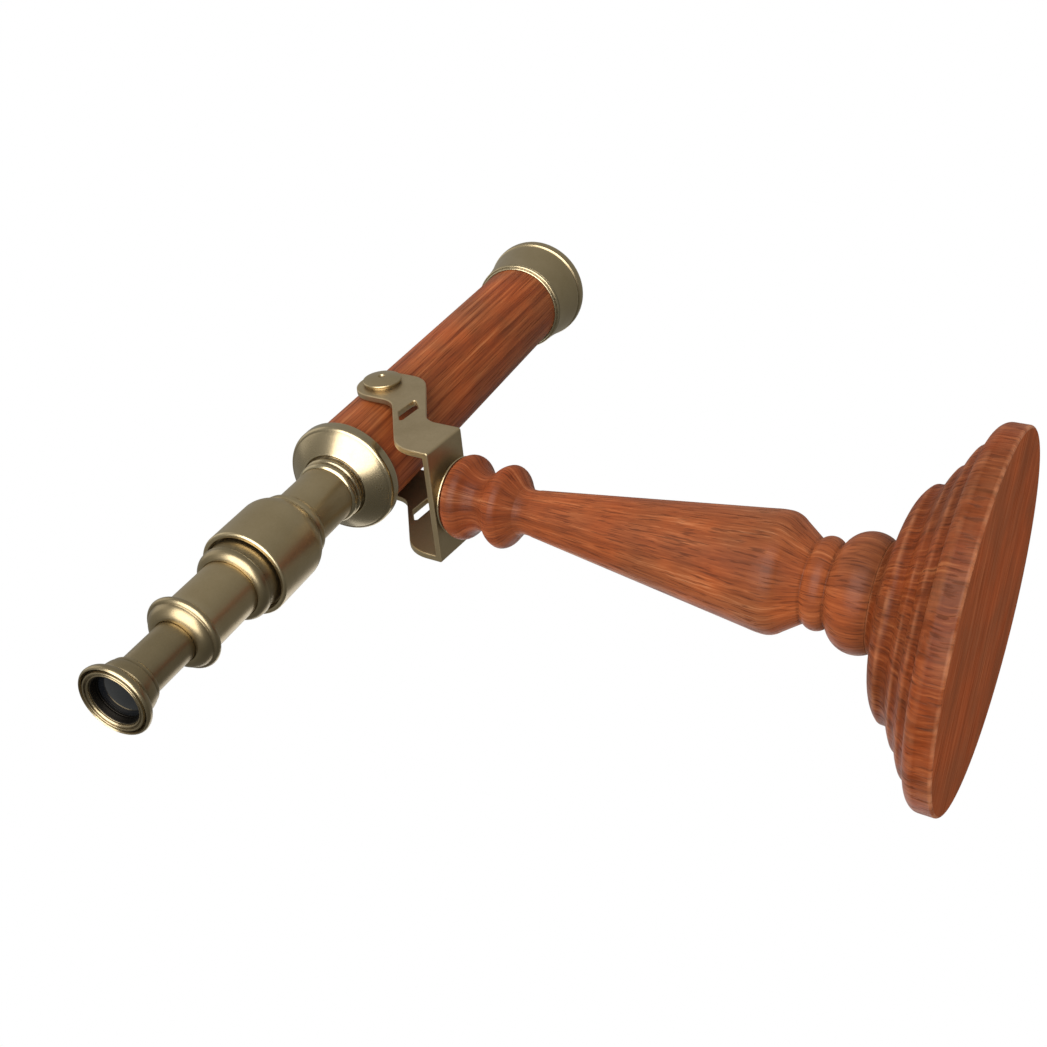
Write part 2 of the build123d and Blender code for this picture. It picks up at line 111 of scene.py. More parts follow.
def softCorners(points, soft, closed, sharpest=14, cornerPoints=7):
    # a corner sharper than 14 degrees becomes a small curve reaching soft millimetres along both sides:
    # (1 - t)^2 before + 2t(1 - t) corner + t^2 after
    if closed:
        points = np.concatenate([points, points[:1]])
    gaps = np.linalg.norm(np.diff(points, axis=0), axis=1)
    points = points[np.concatenate([[True], gaps > 1e-6])]
    steps = np.diff(points, axis=0)
    gaps = np.linalg.norm(steps, axis=1)
    along = np.concatenate([[0], np.cumsum(gaps)])
    total = along[-1]
    ways = steps / gaps[:, None]
    before = np.concatenate([ways[-1:], ways])
    after = np.concatenate([ways, ways[:1]])
    sharp = np.degrees(np.arccos(np.clip((before * after).sum(1), -1, 1))) > sharpest
    sharp[-1] = False
    sharp[0] = sharp[0] and closed
    if not sharp.any():
        return points[:-1] if closed else points

    # a curve reaches no further than just under half way to the next corner
    stops = along[sharp]
    if closed:
        roomAfter = np.diff(np.append(stops, stops[0] + total))
        roomBefore = np.roll(roomAfter, 1)
    else:
        roomAfter = np.diff(np.append(stops, total * 2))
        roomBefore = np.diff(np.append(0, stops))
    reach = np.minimum(soft, 0.45 * np.minimum(roomAfter, roomBefore))
    apart = np.abs(along[:, None] - stops)
    if closed:
        apart = np.minimum(apart, total - apart)
    keep = (apart > reach * 1.02).all(1)

    sides = stops[:, None] + reach[:, None] * np.array([-1, 1])
    sides = sides % total if closed else np.clip(sides, 0, total)
    ends = np.stack([np.interp(sides, along, points[:, k]) for k in (0, 1)], -1)
    t = np.linspace(0, 1, cornerPoints)[None, :, None]
    curves = (1 - t) ** 2 * ends[:, :1] + 2 * t * (1 - t) * points[sharp][:, None] + t ** 2 * ends[:, 1:]
    places = (stops[:, None] + reach[:, None] * np.linspace(-1, 1, cornerPoints)) % total
    order = np.argsort(np.concatenate([along[keep], places.ravel()]), kind="stable")
    result = np.concatenate([points[keep], curves.reshape(-1, 2)])[order]
    if closed and np.allclose(result[0], result[-1]):
        return result[:-1]
    return result


def supportPoints(points, closed, near=0.25, longest=6.0, shortest=1.2):
    # start + (end - start) * share on every run over 1.2 mm, evenly from near to length - near, so that flats
    # stay flat beside rounded edges
    starts = points if closed else points[:-1]
    ends = np.roll(points, -1, axis=0) if closed else points[1:]
    length = np.linalg.norm(ends - starts, axis=1)
    extra = np.where(length > shortest, (length / longest).astype(int) + 2, 0)
    run = np.repeat(np.arange(len(starts)), extra + 1)
    step = np.arange(len(run)) - (np.cumsum(extra + 1) - extra - 1)[run]
    share = (near + (length[run] - 2 * near) * (step - 1) / np.maximum(extra[run] - 1, 1)) / length[run]
    share[step == 0] = 0
    result = starts[run] + (ends - starts)[run] * share[:, None]
    return result if closed else np.concatenate([result, points[-1:]])


def edgeMarks(points, closed, spread=0.35, fullTurn=1.2):
    # how sharply the profile turns near each point: outward turns are ridges and inward turns are valleys,
    # each spread along the profile as exp(-distance^2 / (2 spread^2))
    steps = np.diff(np.concatenate([points[-1:], points, points[:1]]), axis=0)
    heading = np.arctan2(steps[:, 1], steps[:, 0])
    turn = (np.diff(heading) + np.pi) % (2 * np.pi) - np.pi
    if not closed:
        turn[[0, -1]] = 0
    turn = turn * np.sign(turn.sum())
    along = np.concatenate([[0], np.cumsum(np.linalg.norm(np.diff(points, axis=0), axis=1))])
    apart = np.abs(along[:, None] - along)
    if closed:
        total = along[-1] + math.dist(points[0], points[-1])
        apart = np.minimum(apart, total - apart)
    near = np.exp(-0.5 * (apart / spread) ** 2)
    ridge = np.clip(near @ np.maximum(turn, 0) / fullTurn, 0, 1)
    valley = np.clip(near @ np.maximum(-turn, 0) / fullTurn, 0, 1)
    return along, ridge, valley


def gridFaces(rows, turns, closed):
    # one four-sided face for each cell of the grid; the last column meets the first
    row = np.arange(rows if closed else rows - 1)[:, None]
    column = np.arange(turns)[None]
    nextRow, nextColumn = (row + 1) % rows, (column + 1) % turns
    corners = [(row, column), (row, nextColumn), (nextRow, nextColumn), (nextRow, column)]
    return np.stack([r * turns + c for r, c in corners], -1).reshape(-1, 4)


def poleFaces(rows, turns):
    # a fan of triangles from each of two poles, numbered after the grid, to the grid's first and last rows
    column = np.arange(turns)
    following = (column + 1) % turns
    pole, lastRow = np.full(turns, rows * turns), (rows - 1) * turns
    low = np.stack([pole, following, column], -1)
    high = np.stack([pole + 1, lastRow + column, lastRow + following], -1)
    return np.concatenate([low, high])


def grainPlaces(shape, grid, angle, station, radius, length):
    # where the wood's grain runs: core * (cos a, sin a) on a cylinder of one radius, and the profile's length
    core = shape.get("grainRadius", float(radius.max()))
    place = np.empty(grid.shape)
    place[:, :, 0] = core * np.cos(angle)
    place[:, :, 1] = core * np.sin(angle)
    place[:, :, 2] = length[:, None]
    flat = shape.get("flatGrain")
    if flat is not None:
        # the flat underside is the face of a board: x and y turned to its grain, at one depth
        level = station < flat["below"]
        way = math.radians(flat["angle"])
        x, y = grid[level][:, :, 0], grid[level][:, :, 1]
        place[level, :, 0] = x * math.sin(way) - y * math.cos(way)
        place[level, :, 1] = flat["depth"]
        place[level, :, 2] = x * math.cos(way) + y * math.sin(way)
    return place


def storeMesh(name, points, quads, triangles):
    # the faces are turned round if the signed volume, the sum of a . (b x c) over them, is negative
    a, b, c, d = (points[quads[:, k]] for k in range(4))
    p, q, r = (points[triangles[:, k]] for k in range(3))
    volume = sum(np.einsum("ij,ij", *pair) for pair in (
        (a, np.cross(b, c)), (a, np.cross(c, d)), (p, np.cross(q, r))))
    if volume < 0:
        quads, triangles = quads[:, ::-1], triangles[:, ::-1]
    corners = np.concatenate([quads.ravel(), triangles.ravel()]).astype(np.int32)
    sizes = np.repeat([4, 3], [len(quads), len(triangles)])
    starts = (np.cumsum(sizes) - sizes).astype(np.int32)
    mesh = bpy.data.meshes.new(name)
    mesh.vertices.add(len(points))
    mesh.vertices.foreach_set("co", points.astype(np.float32).ravel())
    mesh.loops.add(len(corners))
    mesh.loops.foreach_set("vertex_index", corners)
    mesh.polygons.add(len(sizes))
    mesh.polygons.foreach_set("loop_start", starts)
    mesh.polygons.foreach_set("use_smooth", np.ones(len(sizes), bool))
    mesh.update(calc_edges=True)
    mesh.validate()
    piece = bpy.data.objects.new(name, mesh)
    scene.collection.objects.link(piece)
    return piece


def storeValues(piece, name, kind, values):
    # one value, or three, for each point of the piece
    attribute = piece.data.attributes.new(name, kind, "POINT")
    key = "vector" if kind == "FLOAT_VECTOR" else "value"
    attribute.data.foreach_set(key, values.astype(np.float32).ravel())


def turnedPiece(name, shape, axis):
    # a profile turned round an axis: origin + station * along + radius * (cos a * side + sin a * up)
    closed = shape.get("closed", False)
    points = drawProfile(shape["start"], shape["steps"])
    points = supportPoints(softCorners(points, shape["soft"], closed), closed)
    station, radius = (points[:, k] for k in axis["columns"])
    turns = shape["turns"]
    angle = np.linspace(0, 2 * np.pi, turns, endpoint=False)
    ring = np.cos(angle)[:, None] * axis["side"] + np.sin(angle)[:, None] * axis["up"]
    grid = axis["origin"] + station[:, None, None] * axis["along"] + radius[:, None, None] * ring
    length, ridge, valley = edgeMarks(points, closed)
    place = grainPlaces(shape, grid, angle, station, radius, length)
    marks = np.repeat(np.stack([ridge, valley], 1)[:, None], turns, axis=1)
    rows = len(points)
    if closed:
        triangles = np.zeros((0, 3), int)
        grid, place, marks = (values.reshape(-1, values.shape[-1]) for values in (grid, place, marks))
    else:
        # both ends of an open profile lie on the axis, and each end's ring is one point
        rows -= 2
        triangles = poleFaces(rows, turns)
        marks[[0, -1]] = 0
        grid, place, marks = (
            np.concatenate([values[1:-1].reshape(-1, values.shape[-1]), values[[0, -1]].mean(1)])
            for values in (grid, place, marks))
    piece = storeMesh(name, grid * mm, gridFaces(rows, turns, closed), triangles)
    storeValues(piece, "grainPlace", "FLOAT_VECTOR", place * mm)
    storeValues(piece, "ridge", "FLOAT", marks[:, 0])
    storeValues(piece, "valley", "FLOAT", marks[:, 1])

    second = shape.get("secondFinish")
    if second is not None:
        # bands of faces nearer the axis, and lower along it, than these get the second material
        bands = slice(None) if closed else slice(-1)
        bandRadius = (0.5 * (radius + np.roll(radius, -1)))[bands]
        bandStation = np.maximum(station, np.roll(station, -1))[bands]
        chosen = (bandRadius < second["within"]) & (bandStation < second["below"])
        if not closed:
            chosen = np.concatenate([chosen[1:-1], chosen[[0, -1]]])
        piece.data.polygons.foreach_set("material_index", np.repeat(chosen, turns).astype(np.int32))
    return piece


def setSocket(tree, socket, value):
    # a node's output is linked to the socket, and a number, vector or colour is set on it
    if isinstance(value, bpy.types.NodeSocket):
        tree.links.new(value, socket)
    elif socket.type == "RGBA":
        socket.default_value = (*value, 1)
    else:
        socket.default_value = value


def addNode(tree, kind, inputs, **settings):
    node = tree.nodes.new(kind)
    for key, value in settings.items():
        setattr(node, key, value)
    for key, value in inputs.items():
        setSocket(tree, node.inputs[key], value)
    return node


def mathNode(tree, operation, *values, clamp=False):
    inputs = dict(enumerate(values))
    return addNode(tree, "ShaderNodeMath", inputs, operation=operation, use_clamp=clamp).outputs[0]


def vectorNode(tree, operation, *values):
    return addNode(tree, "ShaderNodeVectorMath", dict(enumerate(values)), operation=operation)


def blendValues(tree, share, first, second):
    # first + share * (second - first)
    return mathNode(tree, "MULTIPLY_ADD", mathNode(tree, "SUBTRACT", second, first), share, first)


def rangeNode(tree, value, low, high):
    # 0 at low, 1 at high, and straight between
    return addNode(tree, "ShaderNodeMapRange", {"Value": value, "From Min": low, "From Max": high}).outputs[0]


def noiseNode(tree, vector, scale, detail, rough=0.5, output="Fac"):
    inputs = {"Vector": vector, "Scale": scale, "Detail": detail, "Roughness": rough}
    return addNode(tree, "ShaderNodeTexNoise", inputs).outputs[output]


def mixColours(tree, factor, first, second, mode="MIX"):
    inputs = {0: factor, 6: first, 7: second}
    return addNode(tree, "ShaderNodeMix", inputs, data_type="RGBA", blend_type=mode).outputs[2]


def rampNode(tree, factor, stops):
    node = addNode(tree, "ShaderNodeValToRGB", {0: factor})
    ramp = node.color_ramp
    while len(ramp.elements) < len(stops):
        ramp.elements.new(0.5)
    for element, (place, colour) in zip(ramp.elements, stops):
        element.position = place
        element.color = (*colour, 1)
    return node.outputs[0]


def startGroup(name, numbers, outputs):
    # a node group that reads a vector and some numbers, and puts out masks and values
    group = bpy.data.node_groups.new(name, "ShaderNodeTree")
    group.interface.new_socket(name="Vector", in_out="INPUT", socket_type="NodeSocketVector")
    for label, value in numbers.items():
        socket = group.interface.new_socket(name=label, in_out="INPUT", socket_type="NodeSocketFloat")
        socket.default_value = value
    for label in outputs:
        group.interface.new_socket(name=label, in_out="OUTPUT", socket_type="NodeSocketFloat")
    entry = group.nodes.new("NodeGroupInput")
    result = group.nodes.new("NodeGroupOutput")
    return group, entry.outputs, result.inputs


def grainGroup():
    # wood whose grain runs along Z. Streaks, fine lines and hairs are noise squeezed along the grain, rings
    # are the sine of a wandering distance across it, and pores are the peaks of a finer noise:
    # tone = (1 - share) * (0.85 streaks + 0.15 rings) + share * (0.5 fine + 0.5 hairs)
    group, entry, result = startGroup("woodGrain", {
        "Streak Scale": 90.0,
        "Fine Scale": 420.0,
        "Ring Scale": 130.0,
        "Pore Scale": 1500.0,
        "Pore Stretch": 0.06,
        "Fine Share": 0.7,
        "Sway": 0.002,
    }, ["Tone", "Pores", "Height"])
    # the grain sways a little from side to side as it runs along
    sway = noiseNode(group, entry["Vector"], 95.0, 2.0, output="Color")
    sway = vectorNode(group, "SUBTRACT", sway, (0.5, 0.5, 0.5)).outputs[0]
    sway = addNode(group, "ShaderNodeVectorMath", {0: sway, "Scale": entry["Sway"]}, operation="SCALE")
    vector = vectorNode(group, "ADD", entry["Vector"], sway.outputs[0]).outputs[0]

    def squeezed(stretch):
        scale = addNode(group, "ShaderNodeCombineXYZ", {0: 1.0, 1: 1.0, 2: stretch}).outputs[0]
        return vectorNode(group, "MULTIPLY", vector, scale).outputs[0]

    streaks = noiseNode(group, squeezed(0.08), entry["Streak Scale"], 5.0, 0.6)
    streaks = rangeNode(group, streaks, 0.33, 0.67)
    fine = noiseNode(group, squeezed(0.05), entry["Fine Scale"], 4.0, 0.65)
    fine = rangeNode(group, fine, 0.32, 0.68)
    hairScale = mathNode(group, "MULTIPLY", entry["Fine Scale"], 2.3)
    hairs = rangeNode(group, noiseNode(group, squeezed(0.035), hairScale, 2.0, 0.6), 0.35, 0.65)

    wander = noiseNode(group, squeezed(0.22), 22.0, 3.0)
    parts = addNode(group, "ShaderNodeSeparateXYZ", {0: vector}).outputs
    across = mathNode(group, "MULTIPLY_ADD", parts[1], 0.8, parts[0])
    across = mathNode(group, "MULTIPLY_ADD", wander, 0.045, across)
    ringPlace = mathNode(group, "MULTIPLY", across, entry["Ring Scale"])
    rings = mathNode(group, "SINE", mathNode(group, "MULTIPLY", ringPlace, 2 * math.pi))
    rings = mathNode(group, "MULTIPLY_ADD", rings, 0.5, 0.5)

    broad = blendValues(group, 0.15, streaks, rings)
    thin = blendValues(group, 0.5, fine, hairs)
    pores = noiseNode(group, squeezed(entry["Pore Stretch"]), entry["Pore Scale"], 1.5, 0.4)
    pores = rangeNode(group, pores, 0.575, 0.66)
    setSocket(group, result["Tone"], blendValues(group, entry["Fine Share"], broad, thin))
    setSocket(group, result["Pores"], pores)
    height = mathNode(group, "SUBTRACT", mathNode(group, "MULTIPLY", fine, 0.4), pores)
    setSocket(group, result["Height"], height)
    return group


def patinaGroup():
    # aged metal: soft tarnish clouds and a fine speckle; roughness = base + (tarnish - 0.5) * spread
    group, entry, result = startGroup("metalPatina", {
        "Cloud Scale": 60.0,
        "Speckle Scale": 1400.0,
        "Base Rough": 0.3,
        "Rough Spread": 0.1,
    }, ["Tarnish", "Roughness", "Height"])
    cloud = noiseNode(group, entry["Vector"], entry["Cloud Scale"], 6.0, 0.62)
    speckle = noiseNode(group, entry["Vector"], entry["Speckle Scale"], 2.0)
    tarnish = rangeNode(group, blendValues(group, 0.25, cloud, speckle), 0.36, 0.66)
    uneven = mathNode(group, "SUBTRACT", tarnish, 0.5)
    rough = mathNode(group, "MULTIPLY_ADD", uneven, entry["Rough Spread"], entry["Base Rough"], clamp=True)
    setSocket(group, result["Tarnish"], tarnish)
    setSocket(group, result["Roughness"], rough)
    setSocket(group, result["Height"], speckle)
    return group


def wearAndShadeGroup():
    # lighter outward edges, partly handled wear and partly painted highlight, and darker creases, partly dirt
    # and partly painted shade, broken up by a noise: mark * (1 - noise * depth)
    group, entry, result = startGroup("edgeWearAndShade", {
        "Ridge": 0.0,
        "Valley": 0.0,
        "Break Scale": 300.0,
        "Break Depth": 0.7,
    }, ["Worn", "Grime Shade"])
    ragged = rangeNode(group, noiseNode(group, entry["Vector"], entry["Break Scale"], 4.0), 0.35, 0.65)
    keep = mathNode(group, "SUBTRACT", 1.0, mathNode(group, "MULTIPLY", ragged, entry["Break Depth"]))
    setSocket(group, result["Worn"], mathNode(group, "MULTIPLY", entry["Ridge"], keep, clamp=True))
    setSocket(group, result["Grime Shade"], mathNode(group, "MULTIPLY", entry["Valley"], keep, clamp=True))
    return group


woodGrain = grainGroup()
metalPatina = patinaGroup()
edgeWearAndShade = wearAndShadeGroup()


def startMaterial(name):
    material = bpy.data.materials.new(name)
    material.use_nodes = True
    tree = material.node_tree
    place = tree.nodes.new("ShaderNodeTexCoord").outputs["Object"]
    return material, tree, tree.nodes["Principled BSDF"], place


def pieceValue(tree, name, output="Fac"):
    # a value that turnedPiece stored on the piece
    return addNode(tree, "ShaderNodeAttribute", {}, attribute_name=name).outputs[output]


def groupNode(tree, group, vector, values):
    return addNode(tree, "ShaderNodeGroup", {"Vector": vector, **values}, node_tree=group).outputs


def wearAndShadeColour(tree, place, colour, look):
    # the look's lighter colour on outward edges (partly wear, partly painted highlight) and its dark colour
    # in creases (partly dirt, partly painted shade); also gives the edge mask
    marks = groupNode(tree, edgeWearAndShade, place, {
        "Ridge": pieceValue(tree, "ridge"),
        "Valley": pieceValue(tree, "valley"),
        "Break Scale": look["wearScale"],
        "Break Depth": look["wearDepth"],
    })
    colour = mixColours(tree, mathNode(tree, "MULTIPLY", marks["Worn"], look["wearHighlight"]), colour, look["wearHighlightColour"])
    colour = mixColours(tree, mathNode(tree, "MULTIPLY", marks["Grime Shade"], look["grimeAndShade"]), colour, look["dirtAndShade"])
    return colour, marks["Worn"]


def addBump(tree, shader, height, look):
    inputs = {"Height": height, "Strength": look["bump"], "Distance": look["bumpDepth"]}
    setSocket(tree, shader.inputs["Normal"], addNode(tree, "ShaderNodeBump", inputs).outputs[0])


def woodMaterial(name, look):
    material, tree, shader, place = startMaterial(name)
    follow = addNode(tree, "ShaderNodeMapping", {
        "Vector": pieceValue(tree, "grainPlace", "Vector"),
        "Rotation": (0.0, 0.0, look["turn"]),
        "Location": look["shift"],
        "Scale": (1.0, 1.0, look["reach"]),
    }).outputs[0]
    grain = groupNode(tree, woodGrain, follow, look["grain"])
    colour = rampNode(tree, grain["Tone"], look["tones"])
    # cooler and warmer patches, wider than the grain
    patches = rangeNode(tree, noiseNode(tree, place, look["patchScale"], 3.0), 0.38, 0.64)
    shade = mixColours(tree, patches, look["coolPatch"], look["warmPatch"])
    colour = mixColours(tree, 1.0, colour, shade, "MULTIPLY")
    pores = mathNode(tree, "MULTIPLY", grain["Pores"], look["poreDepth"])
    colour = mixColours(tree, pores, colour, look["dirtAndShade"])
    if "darkerFrom" in look:
        # the wood turns darker and redder over a short way above this height
        height = addNode(tree, "ShaderNodeSeparateXYZ", {0: place}).outputs[2]
        darkerShare = rangeNode(tree, height, look["darkerFrom"], look["darkerTo"])
        colour = mixColours(tree, darkerShare, colour, mixColours(tree, 1.0, colour, look["darkerTint"], "MULTIPLY"))
    colour, wearHighlight = wearAndShadeColour(tree, place, colour, look)
    rough = mathNode(tree, "MULTIPLY_ADD", grain["Pores"], look["poreRough"], look["rough"])
    setSocket(tree, shader.inputs["Base Color"], colour)
    setSocket(tree, shader.inputs["Roughness"], rough)
    addBump(tree, shader, grain["Height"], look)
    shader.inputs["Specular IOR Level"].default_value = look["specular"]
    shader.inputs["Diffuse Roughness"].default_value = 1.0
    return material


mahogany = {
    "turn": 0.0,  # radians round the grain
    "shift": (0.0, 0.0, 0.0),
    "reach": 1.0,  # under 1 the figure is longer along the grain
    "tones": [
        (0.14, (0.128, 0.035, 0.012)),
        (0.34, (0.170, 0.044, 0.015)),
        (0.50, (0.204, 0.055, 0.018)),
        (0.66, (0.248, 0.073, 0.025)),
        (0.86, (0.350, 0.133, 0.055)),
    ],
    "patchScale": 38.0, "coolPatch": (0.85, 0.92, 1.02), "warmPatch": (1.11, 0.98, 0.88),
    "poreDepth": 0.6, "poreRough": 0.22,
    # lighter outward edges are partly wear and partly painted highlight; the dark colour fills the pores, and
    # darkens the creases partly as dirt and partly as painted shade
    "wearHighlight": 0.35, "wearHighlightColour": (0.34, 0.12, 0.05),
    "grimeAndShade": 0.6, "dirtAndShade": (0.050, 0.011, 0.004),
    "wearScale": 260.0, "wearDepth": 0.9,
    "rough": 0.40, "specular": 0.15,
    "bump": 0.35, "bumpDepth": 0.0002,
}
columnWood = woodMaterial("columnMahogany", {
    **mahogany,
    "turn": 0.6,
    "shift": (0.013, 0.027, 0.0),
    "darkerFrom": 0.152, "darkerTo": 0.172, "darkerTint": (0.84, 0.72, 0.68),
    "grain": {
        "Streak Scale": 200.0, "Fine Scale": 820.0, "Ring Scale": 55.0,
        "Pore Scale": 2000.0, "Pore Stretch": 0.06, "Fine Share": 0.5, "Sway": 0.0008,
    },
})
plinthWood = woodMaterial("plinthMahogany", {
    **mahogany,
    "turn": 1.1,
    "shift": (0.031, 0.011, 0.05),
    "tones": [
        (0.14, (0.078, 0.017, 0.004)),
        (0.34, (0.112, 0.024, 0.006)),
        (0.50, (0.138, 0.030, 0.008)),
        (0.66, (0.172, 0.041, 0.011)),
        (0.86, (0.242, 0.078, 0.026)),
    ],
    "grain": {
        "Streak Scale": 200.0, "Fine Scale": 760.0, "Ring Scale": 45.0,
        "Pore Scale": 1600.0, "Pore Stretch": 0.09, "Fine Share": 0.66, "Sway": 0.0017,
    },
    # the strong lighter edge colour along the tiers is partly wear and partly a painted highlight
    "wearHighlight": 0.85, "wearHighlightColour": (0.40, 0.17, 0.085), "wearScale": 170.0,
    "rough": 0.42, "specular": 0.11, "bump": 0.4,
})
baseWood = woodMaterial("sandedMahogany", {
    **mahogany,
    "turn": 1.1,
    "shift": (0.031, 0.011, 0.05),
    "tones": [
        (0.10, (0.132, 0.030, 0.008)),
        (0.40, (0.173, 0.041, 0.012)),
        (0.60, (0.193, 0.048, 0.015)),
        (0.90, (0.244, 0.072, 0.025)),
    ],
    "grain": {
        "Streak Scale": 150.0, "Fine Scale": 520.0, "Ring Scale": 70.0,
        "Pore Scale": 1300.0, "Pore Stretch": 0.04, "Fine Share": 0.6, "Sway": 0.001,
    },
    "poreDepth": 0.45, "dirtAndShade": (0.110, 0.022, 0.006),
    "wearHighlight": 0.3, "grimeAndShade": 0.3, "wearScale": 170.0,
    "rough": 0.7, "specular": 0.06, "bump": 0.25,
})
barrelWood = woodMaterial("barrelMahogany", {
    **mahogany,
    "reach": 0.4,
    "tones": [
        (0.14, (0.105, 0.022, 0.005)),
        (0.34, (0.165, 0.037, 0.010)),
        (0.50, (0.209, 0.051, 0.013)),
        (0.66, (0.262, 0.071, 0.020)),
        (0.86, (0.346, 0.126, 0.044)),
    ],
    "grain": {
        "Streak Scale": 260.0, "Fine Scale": 800.0, "Ring Scale": 60.0,
        "Pore Scale": 1900.0, "Pore Stretch": 0.05, "Fine Share": 0.42, "Sway": 0.0005,
    },
    "poreDepth": 0.4, "dirtAndShade": (0.035, 0.008, 0.003),
    "wearHighlight": 0.4, "grimeAndShade": 0.5,
    "rough": 0.45, "specular": 0.16, "bump": 0.3,
})


def metalMaterial(name, look):
    material, tree, shader, place = startMaterial(name)
    patina = groupNode(tree, metalPatina, place, look["patina"])
    colour = mixColours(tree, patina["Tarnish"], look["clean"], look["tarnished"])
    colour, wearHighlight = wearAndShadeColour(tree, place, colour, look)
    rough = mathNode(tree, "MULTIPLY_ADD", wearHighlight, -look["wornSmooth"], patina["Roughness"])
    setSocket(tree, shader.inputs["Base Color"], colour)
    setSocket(tree, shader.inputs["Roughness"], rough)
    addBump(tree, shader, patina["Height"], look)
    shader.inputs["Metallic"].default_value = 1.0
    return material


def patinaValues(cloud, speckle, rough, spread):
    return {"Cloud Scale": cloud, "Speckle Scale": speckle, "Base Rough": rough, "Rough Spread": spread}


agedLook = {
    "clean": (0.50, 0.395, 0.235), "tarnished": (0.43, 0.335, 0.19),
    # lighter outward edges are partly wear and partly painted highlight; darker creases are partly dirt and
    # partly painted shade
    "wearHighlight": 0.7, "wearHighlightColour": (0.66, 0.56, 0.37),
    "grimeAndShade": 0.75, "dirtAndShade": (0.10, 0.070, 0.035),
    "wearScale": 500.0, "wearDepth": 0.6, "wornSmooth": 0.08,
    "patina": patinaValues(70.0, 1500.0, 0.34, 0.06),
    "bump": 0.15, "bumpDepth": 0.00005,
}
agedBrass = metalMaterial("agedBrass", agedLook)
flangeBrass = metalMaterial("flangeBrass", {
    **agedLook,
    "clean": (0.455, 0.370, 0.235), "tarnished": (0.385, 0.310, 0.190),
    "patina": patinaValues(60.0, 1500.0, 0.27, 0.05),
})
# a darker copy of the aged brass, partly a darker patina and partly painted shade for parts that sit in
# dimmer light
handledShadedBrass = metalMaterial("handledShadedBrass", {
    **agedLook,
    "clean": (0.38, 0.300, 0.178), "tarnished": (0.31, 0.243, 0.139),
    "wearHighlight": 0.45, "wearHighlightColour": (0.52, 0.44, 0.29),
})
bracketBrass = metalMaterial("bracketBrass", {
    **agedLook,
    "clean": (0.55, 0.43, 0.26), "tarnished": (0.44, 0.34, 0.20),
    "patina": patinaValues(60.0, 1500.0, 0.42, 0.06),
})
blackBrass = metalMaterial("blackenedBrass", {
    **agedLook,
    "clean": (0.030, 0.026, 0.022), "tarnished": (0.016, 0.014, 0.012),
    "wearHighlight": 0.2, "wearHighlightColour": (0.03, 0.026, 0.02),
    "grimeAndShade": 0.8, "dirtAndShade": (0.010, 0.009, 0.008),
    "patina": patinaValues(120.0, 2000.0, 0.5, 0.1),
    "bump": 0.2,
})
springSteel = metalMaterial("springSteel", {
    **agedLook,
    "clean": (0.42, 0.42, 0.43), "tarnished": (0.30, 0.30, 0.31),
    "wearHighlight": 0.5, "wearHighlightColour": (0.55, 0.55, 0.56),
    "grimeAndShade": 0.6, "dirtAndShade": (0.08, 0.075, 0.07),
    "patina": patinaValues(150.0, 2500.0, 0.32, 0.1),
    "bump": 0.1,
})


def lensMaterial(name, look):
    # the lenses close off a dark tube: their near-black colour is painted shade, standing in for the dark
    # inside seen through the glass, under a polished clear coat
    material, tree, shader, place = startMaterial(name)
    haze = groupNode(tree, metalPatina, place, look["haze"])
    colour = mixColours(tree, haze["Tarnish"], look["clean"], look["hazy"])
    setSocket(tree, shader.inputs["Base Color"], colour)
    setSocket(tree, shader.inputs["Roughness"], haze["Roughness"])
    shader.inputs["Coat Weight"].default_value = look["coat"]
    shader.inputs["Coat Roughness"].default_value = look["coatRough"]
    return material


shadeBlackLens = lensMaterial("shadeBlackLens", {
    "clean": (0.004, 0.005, 0.007), "hazy": (0.010, 0.011, 0.012),
    "haze": patinaValues(90.0, 900.0, 0.08, 0.05),
    "coat": 0.6, "coatRough": 0.03,
})
print("materials made")


def addPiece(name, shape, axis, finishes, body, node):
    piece = turnedPiece(name, shape, axis)
    for finish in finishes:
        piece.data.materials.append(finish)
    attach(piece, body)
    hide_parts(node)


# The stand. The plinth has a flat underside and four tiers, each a rounded edge above a hollow.
plinth = {
    "turns": 320,
    "grainRadius": 42.0,
    "flatGrain": {"below": 0.02, "angle": -64.0, "depth": 300.0},
    "secondFinish": {"within": 999.0, "below": 0.02},
    "soft": 0.6,
    "start": (0, 0),
    "steps": [
        (59.2, 0), ((59.9, 0.3), (60.2, 1.0)), (60.2, 6.0),
        ((58.9, 8.1), (56.0, 9.2)), ((53.6, 10.2), (52.6, 11.8)), (52.4, 12.2),
        ((50.9, 13.1), (47.9, 14.2)), ((46.2, 15.1), (45.2, 16.6)), (44.8, 17.0),
        ((43.2, 17.9), (40.6, 19.0)), ((39.2, 19.8), (38.4, 21.0)), (38.2, 21.5), (38.2, 23.2),
        ((35.4, 25.5), (30.0, 27.2)), (23.0, 29.3), ((19.6, 30.8), (18.2, 32.2)), (0, 32.2),
    ],
}
# a tenon under a bulb, a bead, the long tapered body, a bead between two necks, and the cap
column = {
    "turns": 256,
    "grainRadius": 17.0,
    "soft": 0.35,
    "start": (0, 30.0),
    "steps": [
        (8.9, 30.0), (8.9, 32.2), (18.2, 32.2), ((19.9, 38.0), (13.8, 46.6)), (13.5, 47.2),
        ((15.6, 51.0), (14.1, 54.2)), (13.9, 54.7), (14.6, 55.4), (18.9, 61.4),
        ((20.4, 63.9), (20.8, 66.6)), ((20.7, 68.6), (20.3, 71.6)), (8.75, 157.4),
        ((8.4, 160.0), (8.6, 162.0)), (9.3, 163.4), (13.9, 167.2), ((15.3, 168.7), (15.7, 170.3)),
        ((14.9, 172.4), (13.2, 174.4)), ((11.3, 177.4), (11.2, 179.6)), ((12.4, 182.2), (14.6, 184.4)),
        ((16.2, 187.4), (15.0, 190.4)), (13.9, 191.2), (0, 191.2),
    ],
}
